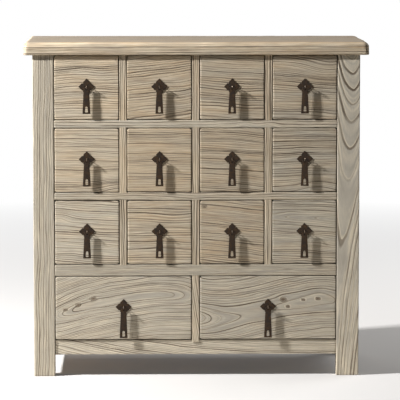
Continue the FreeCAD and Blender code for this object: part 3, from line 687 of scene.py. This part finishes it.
def blackened_iron(name, scale, rust_colour, sheen):
    """Forged iron blackened by its own scale: dark brown-black, softly shining where hammering
    left it smooth, duller in the pits."""
    material, tree = new_material(name)
    place = add(tree, "TexCoord", {})["Object"]
    pits = add(tree, "TexNoise", {"Vector": place, "Scale": 1 / (PIT_WIDTH * MM), "Detail": 4.0})[0]
    dents = add(tree, "TexNoise", {"Vector": place, "Scale": 1 / (RUST_PATCH * MM), "Detail": 2.0})[0]
    rust = add(tree, "MapRange", {"Value": dents, 1: 0.4, 2: 0.7, 3: 0.0, 4: 1.0})[0]
    colour = add(
        tree, "Mix", {"Factor": rust, 6: linear(scale), 7: linear(rust_colour)}, data_type="RGBA"
    )[2]
    dull = add(tree, "MapRange", {"Value": pits, 1: 0.35, 2: 0.65, 3: sheen, 4: sheen + 0.26})[0]
    height = add(tree, "Math", {0: dents, 1: 2.0, 2: pits}, operation="MULTIPLY_ADD")[0]
    bump = add(tree, "Bump", {"Height": height, "Strength": 0.6, "Distance": 0.25 * MM})[0]
    surface = add(
        tree, "BsdfPrincipled",
        {"Base Color": colour, "Metallic": 0.85, "Roughness": dull, "Normal": bump},
    )[0]
    add(tree, "OutputMaterial", {"Surface": surface})
    return material


elm = weathered_elm(
    "weathered_elm", "#BBA384", "#A8A194", "#DCCFB6", "#54473A", line_depth=0.95, streaks=1.0
)
drawer_wood = weathered_elm(
    "planed_drawer_wood", "#B99C76", "#AD9779", "#C6AE8A", "#8F7455", line_depth=0.45, streaks=0.5
)
sawn_along_y = sawn_wood("sawn_wood_front_to_back", Y)
sawn_along_x = sawn_wood("sawn_wood_side_to_side", X)
iron = blackened_iron("blackened_iron", "#302822", "#413122", 0.34)
rubbed_iron = blackened_iron("iron_rubbed_bright_by_the_pull", "#6A5F54", "#59493A", 0.24)

for node in ("drawer_runners", "drawer_guides", "drawer_stops"):
    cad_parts[node].material_slots[0].material = sawn_along_y
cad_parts["back_rails"].material_slots[0].material = sawn_along_x


def millimetres(node):
    """A CAD node's box in millimetres."""
    low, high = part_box(node)
    return np.array(low) / MM, np.array(high) / MM


def fit_to_carcase(name, boards, node, material=elm):
    """Boards of the fixed carcase, as one piece in place of a CAD node."""
    fit(mesh_of(name, boards, material), "carcase", node)


# The top board, posts, rails, dividers, side panels and back panel. Each board has a seed of its
# own, counted up from its group's first.
FRONT_FACE, BACK_FACE, LEFT_FACE, RIGHT_FACE, TOP_FACE = (Y, -1), (Y, 1), (X, -1), (X, 1), (Z, 1)
TOP_SEED, POST_SEED, RAIL_SEED, DIVIDER_SEED, SIDE_RAIL_SEED, PANEL_SEED = 11, 21, 31, 41, 61, 71
BACK_SEED, DRAWER_SEED = 81, 101
# The top's upper arris is worn round and its lower one little. The lamp grazes the top and the sides, so
# the top's flat face and the side boards are painted darker than the rest: painted shade against the
# lamp's light.
TOP_ROUND, TOP_UNDER_ROUND, TOP_CORNER = 16.0, 2.5, 8.0
TOP_FACE_PAINTED_SHADE = -0.57
SIDE_PAINTED_SHADE = -0.27, 0.0, 0.0

top_wood = figure(
    across=(0.15, -1.0, -230.0), depth=(0, 0.4, 380.0), ring=8.5, wave=1.6,
    tone=(0.03, 0.1, 0.0), face=TOP_FACE_PAINTED_SHADE,
)
plank = board(
    *millimetres("top_board"), X, TOP_FACE, top_wood, TOP_SEED,
    radius=TOP_ROUND, back_radius=TOP_UNDER_ROUND, corner=TOP_CORNER, fine=1.15,
)
fit_to_carcase("top_plank", [plank], "top_board")

POST_WOODS = {
    "front_left_post": figure(across=(0.0, 1.2, -95.0), ring=5.4, wave=3.0, bold=1.2,
                              tone=(-0.02, -0.7, 0.25)),
    "front_right_post": figure(
        across=(-0.11, -1.24, 11.8, -10.7), depth=(-0.89, -2.87, 118.8), ring=4.6, wave=1.2, bold=1.7,
        tone=(0.16, -0.8, 0.0),
    ),
    "rear_left_post": figure(across=(0.0, -1.0, 120.0)),
    "rear_right_post": figure(across=(0.0, 1.4, 100.0)),
}
for seed, (node, wood) in enumerate(POST_WOODS.items(), start=POST_SEED):
    face = FRONT_FACE if node.startswith("front") else BACK_FACE
    fit_to_carcase(node + "_board", [board(*millimetres(node), Z, face, wood, seed)], node)

RAIL_WOODS = {
    "front_rail_upper": figure(across=(0.0, 0.6, 70.0), ring=5.0, tone=(0.08, -0.6, 0.0),
                               swells=((137, -6, 9, 22, 14), (212, -6, 9, 22, 14))),
    "front_rail_middle": figure(across=(0.0, -0.5, -80.0), ring=4.5, tone=(0.02, -0.3, 0.0)),
    "front_rail_lower": figure(across=(0.0, 0.3, 90.0), ring=5.0, tone=(-0.14, -0.6, 0.0)),
    "front_rail_bottom": figure(
        across=(1.75, -10.5, -120.0), ring=4.5, wave=2.0, tone=(0.15, -0.9, 0.0)
    ),
}
between_posts = millimetres("front_left_post")[1][X], millimetres("front_right_post")[0][X]
for seed, (node, wood) in enumerate(RAIL_WOODS.items(), start=RAIL_SEED):
    low, high = millimetres(node)
    low[X], high[X] = between_posts
    rail = board(low, high, X, FRONT_FACE, wood, seed, radius=INNER_ARRIS, painted_gap_shade=PAINTED_GAP_SHADE)
    fit_to_carcase(node + "_board", [rail], node)

# The divider between the wide drawers has slanting grain; in the others it leans a little.
dividers = []
divider_boxes = solids("dividers")
lowest = min(low[Z] for low, high in divider_boxes)
for seed, (low, high) in enumerate(divider_boxes, start=DIVIDER_SEED):
    slope = -14.0 if low[Z] == lowest else 2.0 - seed % 3
    low[Y] += DIVIDER_STEP
    high[Y] -= DIVIDER_STEP
    wood = figure(across=(0.0, slope, 60.0 + 7 * (seed % 5)), ring=4.5)
    dividers.append(board(low, high, Z, FRONT_FACE, wood, seed, radius=INNER_ARRIS, painted_gap_shade=PAINTED_GAP_SHADE))
fit_to_carcase("upright_dividers", dividers, "dividers")

side_rails = []
# The side rails' tone is painted shade: darker against the lamp that grazes the sides.
side_wood = figure(across=(0.0, 0.8, 90.0), tone=SIDE_PAINTED_SHADE)
for seed, (low, high) in enumerate(solids("side_rails"), start=SIDE_RAIL_SEED):
    face = LEFT_FACE if low[X] < 0 else RIGHT_FACE
    side_rails.append(board(low, high, Y, face, side_wood, seed, radius=INNER_ARRIS))
fit_to_carcase("side_rail_boards", side_rails, "side_rails")

# The side panels take the same painted shade.
side_wood = figure(
    across=(0.0, 3.0, 20.0), depth=(0.0, 7.0, 30.0), ring=8.0, wave=6.0, tone=SIDE_PAINTED_SHADE
)
SIDES = ("left_side_panel", LEFT_FACE), ("right_side_panel", RIGHT_FACE)
for seed, (node, face) in enumerate(SIDES, start=PANEL_SEED):
    panel = board(*millimetres(node), Z, face, side_wood, seed, fine=1.25)
    fit_to_carcase(node + "_board", [panel], node)
back_wood = figure(across=(0.0, 2.0, 40.0), depth=(0.0, 5.0, 60.0), ring=9.0, wave=8.0)
panel = board(*millimetres("back_panel"), Z, BACK_FACE, back_wood, BACK_SEED, fine=2.0)
fit_to_carcase("back_panel_board", [panel], "back_panel", drawer_wood)

# The drawers: each front has its own figure, chosen after the photograph.
FRONT_WOODS = {
    "one_1": figure(across=(0.0, 3.0, -140.0), ring=5.5, wave=3.5, swells=((-30, 10, 5, 60, 40),),
                    tone=(0.07, 0.0, 0.0)),
    "one_2": figure(across=(0.0, 12.0, -170.0), ring=6.5, wave=3.0, swells=((60, -20, -10, 50, 40),),
                    tone=(-0.04, 0.1, 0.0)),
    "one_3": figure(across=(0.0, -8.0, -150.0), wave=4.0, tone=(-0.05, -0.05, 0.0)),
    "one_4": figure(across=(0.0, -4.0, -130.0), ring=5.5, wave=3.0,
                    swells=((60, 50, -16, 60, 35),), tone=(-0.04, -0.1, 0.0)),
    "two_1": figure(across=(0.0, -2.0, 160.0), ring=5.0, wave=2.0, swells=((90, -75, 16, 60, 45),),
                    tone=(0.04, -0.05, 0.0)),
    "two_2": figure(across=(0.0, -2.0, 210.0), ring=5.0, wave=2.0, tone=(-0.06, 0.25, 0.0)),
    "two_3": figure(across=(-1.5, -6.0, -160.0), ring=5.0, wave=3.0, tone=(-0.07, 0.05, 0.0)),
    "two_4": figure(across=(0.0, 1.0, -180.0), ring=5.0, wave=3.0, swells=((40, -75, 14, 55, 30),),
                    tone=(-0.05, -0.3, 0.0)),
    "three_1": figure(across=(0.0, -6.0, 170.0), ring=5.5, wave=3.5, swells=((-75, 45, 10, 30, 14),),
                      tone=(0.05, -0.45, 0.0)),
    "three_2": figure(across=(0.0, 1.0, -190.0), ring=7.0, wave=2.0, swells=((40, 40, -8, 60, 25),),
                      tone=(-0.06, 0.0, 0.0)),
    "three_3": figure(across=(0.0, -10.0, 150.0), ring=7.0, wave=2.5,
                      knots=((-78.0, 72.0, 2.6),), tone=(-0.11, 0.0, 0.0)),
    "three_4": figure(across=(0.0, -3.0, 40.0), depth=(0.0, 7.0, -9.0), wave=5.0,
                      tone=(-0.05, -0.5, 0.0)),
    "four_1": figure(across=(-6.4, 14.5, 29.0), depth=(1.0, 0.0, 0.0, 0.0, 14.0), ring=4.4,
                     knots=((-86.0, 27.0, 4.5), (-128.0, 8.0, 3.0), (-165.0, -5.0, 2.6)),
                     wave=4.0, bold=0.65, tone=(0.02, -0.7, 0.0)),
    "four_2": figure(across=(-2.9, 0.44, 22.2, -6.3), depth=(2.4, -3.0, -3.3, 34.5), ring=6.0,
                     knots=((43.0, 23.0, 5.0), (57.0, 3.0, 3.0), (100.0, 22.0, 3.0), (142.0, 25.0, 4.0)),
                     wave=4.0, swells=((150, 30, 9, 30, 22),), bold=0.9, tone=(-0.03, -0.6, 0.0)),
}
# A front's round arris, its rounder corners, and how much its edges are worn back all round.
FRONT_ARRIS, FRONT_CORNER, FRONT_WORN = 2.0, 5.0, 0.35


def drawer_box(low, high, seed):
    """The two sides, back and bottom of the drawer in the box from low to high. Their seeds lie
    20 apart, past those of the other drawers' fronts."""
    left, right = low[X] + SIDE_GAP - FRONT_GAP, high[X] - SIDE_GAP + FRONT_GAP
    floor, top = low[Z] + BOTTOM_THICK, low[Z] + BOX_HEIGHT
    shoulder = low[Y] + FRONT_THICK
    woods = [figure(across=(0.0, 1.0, 80.0 + 25 * i), ring=3.5) for i in range(4)]
    pieces = [
        tailed_side(
            np.array([x, low[Y] + FRONT_LAP, floor]), np.array([x + SIDE_THICK, high[Y], top]),
            shoulder, woods[i], seed + 20 * i,
        )
        for i, x in enumerate((left, right - SIDE_THICK))
    ]
    back = (left + SIDE_THICK, high[Y] - SIDE_THICK, floor), (right - SIDE_THICK, high[Y], top)
    bottom = (left, shoulder, low[Z]), (right, high[Y], floor)
    plain = {"radius": 0.6, "fine": 4.0, "worn": 0.3}
    pieces.append(board(*back, X, BACK_FACE, woods[2], seed + 40, **plain))
    pieces.append(board(*bottom, X, TOP_FACE, woods[3], seed + 60, **plain))
    return pieces


for seed, tag in enumerate(TAGS, start=DRAWER_SEED):
    body, node = "sliding_drawer_" + tag, "drawer_" + tag
    low, high = millimetres(node)
    face_low = low + (FRONT_WORN, 0, FRONT_GAP - RUN_GAP + FRONT_WORN)
    face_high = np.array([high[X] - FRONT_WORN, low[Y] + FRONT_THICK, high[Z] - FRONT_WORN])
    front = board(
        face_low, face_high, X, FRONT_FACE, FRONT_WOODS[tag], seed,
        radius=FRONT_ARRIS, corner=FRONT_CORNER, painted_gap_shade=PAINTED_GAP_SHADE,
    )
    fit(mesh_of("drawer_front_" + tag, [front], elm), body, node)
    boxed = mesh_of("drawer_box_" + tag, drawer_box(low, high, seed), drawer_wood, SHARP_WOOD)
    fit(boxed, body, node)

    plate_node, pull_node = "handle_plate_" + tag, "pull_" + tag
    plate_low, plate_high = millimetres(plate_node)
    middle = (plate_low + plate_high) / 2
    middle[Y] = low[Y]
    pin = split_pin(middle, low[Y] - plate_low[Y])
    fit(mesh_of("split_pin_" + tag, [pin], rubbed_iron, SHARP_WIRE), body, plate_node)
    plate = mesh_of("plate_" + tag, [hammered_plate(middle, seed)], iron, SHARP_IRON)
    bevel(plate, PLATE_BREAK)
    fit(plate, body, plate_node)
    pull_low, pull_high = millimetres(pull_node)
    bar = (pull_low + pull_high) / 2
    bar[Z] = pull_high[Z] - BAR_RADIUS
    pull = mesh_of("strip_" + tag, strip_pull(bar, bar[Z] - pull_low[Z], seed), iron, SHARP_IRON)
    bevel(pull, PULL_BREAK)
    fit(pull, "hanging_pull_" + tag, pull_node)

# The floor is pale and wide enough to fill the picture. It begins to turn white at NEAR_M from
# the chest and is white at WHITE_M, and what it throws back is dimmer past DIM_M.
FLOOR_HALF_WIDTH_M = 40.0
NEAR_M, DIM_M, WHITE_M = 0.9, 1.7, 4.3


def pale_floor():
    """Pale paper on the floor. Near the chest it keeps its shade, a little lifted for the camera;
    further off the camera and mirrors see plain white. Its near part throws warm light back."""
    material, tree = new_material("pale_floor_paper")
    path = add(tree, "LightPath", {})
    seen = add(tree, "Math", {0: path["Is Camera Ray"], 1: path["Is Glossy Ray"]}, operation="MAXIMUM")[0]
    reach = add(
        tree, "VectorMath", {0: add(tree, "TexCoord", {})["Object"]}, operation="LENGTH"
    )["Value"]
    far = add(tree, "MapRange", {"Value": reach, 1: NEAR_M, 2: WHITE_M, 3: 0.0, 4: 1.0})[0]
    far = add(tree, "Math", {0: far, 1: seen}, operation="MULTIPLY")[0]
    dim = add(
        tree, "MapRange", {"Value": reach, 1: NEAR_M, 2: DIM_M, 3: 0.0, 4: 1.0},
        interpolation_type="SMOOTHSTEP",
    )[0]
    bounce = add(
        tree, "Mix", {"Factor": dim, 6: linear("#CDC9C3"), 7: linear("#645F58")}, data_type="RGBA"
    )[2]
    shade = add(
        tree, "Mix", {"Factor": seen, 6: bounce, 7: linear("#C3C1BF")}, data_type="RGBA"
    )[2]
    paper = add(tree, "BsdfDiffuse", {"Color": shade})[0]
    lift = add(tree, "Math", {0: seen, 1: 0.07}, operation="MULTIPLY")[0]
    glow = add(tree, "Emission", {"Color": linear("#FFFFFF"), "Strength": lift})[0]
    lifted = add(tree, "AddShader", {0: paper, 1: glow})[0]
    white = add(tree, "Emission", {"Color": linear("#FFFFFF"), "Strength": 1.0})[0]
    both = add(tree, "MixShader", {0: far, 1: lifted, 2: white})[0]
    add(tree, "OutputMaterial", {"Surface": both})
    return material


corners = np.array([(-1, -1, 0), (1, -1, 0), (1, 1, 0), (-1, 1, 0)]) * FLOOR_HALF_WIDTH_M / MM
floor = mesh_of("floor", [{"points": corners, "quads": np.array([[0, 1, 2, 3]])}], pale_floor())

# The room is white to the camera and to mirrors, and gives the surfaces only a little light.
AMBIENT = 0.04
world = bpy.data.worlds.new("studio")
world.use_nodes = True
bpy.context.scene.world = world
tree = world.node_tree
tree.nodes.clear()
path = add(tree, "LightPath", {})
seen = add(tree, "Math", {0: path["Is Camera Ray"], 1: path["Is Glossy Ray"]}, operation="MAXIMUM")[0]
level = add(tree, "MapRange", {"Value": seen, 3: AMBIENT, 4: 1.0})[0]
sky = add(tree, "Background", {"Color": linear("#FFFFFF"), "Strength": level})[0]
add(tree, "OutputWorld", {"Surface": sky})


def lamp(name, place, aim, size, power):
    """A square area lamp in metres and watts, turned towards a point."""
    data = bpy.data.lights.new(name, "AREA")
    data.size = size
    data.energy = power
    thing = bpy.data.objects.new(name, data)
    bpy.context.scene.collection.objects.link(thing)
    thing.location = place
    back = np.array(place) - np.array(aim)
    turn = math.atan2(back[X], -back[Y])
    tip = math.acos(back[Z] / np.linalg.norm(back))
    thing.rotation_euler = (tip, 0, turn)


# A small lamp from the left, nearly along the front, makes the long shadows; large weak ones
# fill in from the front and from behind.
lamp("key_lamp", (-3.2, -0.98, 2.5), (0, -0.1, 0.5), 0.2, 415)
lamp("front_fill", (-0.6, -4.0, 1.2), (0, 0, 0.4), 2.6, 1.0)
lamp("right_back_fill", (2.6, 1.6, 1.6), (0.6, 0.3, 0), 2.0, 60)
lamp("left_back_fill", (-1.0, 2.8, 1.6), (-0.7, 1.2, 0), 2.0, 14)

# The camera stands where the photograph's edges fit best, far off with a long lens: its focal
# length is counted in pixels of the picture, and it looks down and a little to the right.
FOCAL_PIXELS, PICTURE_PIXELS, SENSOR_MM = 2491.8, 400, 36
LOOKS_DOWN, LOOKS_RIGHT = 5.839, 1.217
camera_data = bpy.data.cameras.new("camera")
camera_data.lens = FOCAL_PIXELS / PICTURE_PIXELS * SENSOR_MM
camera_data.sensor_width = SENSOR_MM
camera_data.shift_y = -0.06
camera_data.clip_end = 200
camera = bpy.data.objects.new("camera", camera_data)
bpy.context.scene.collection.objects.link(camera)
camera.location = (-0.1388, -7.1885, 1.2876)
camera.rotation_euler = (math.radians(90 - LOOKS_DOWN), 0, math.radians(-LOOKS_RIGHT))
bpy.context.scene.camera = camera
bpy.context.scene.view_settings.view_transform = "Standard"
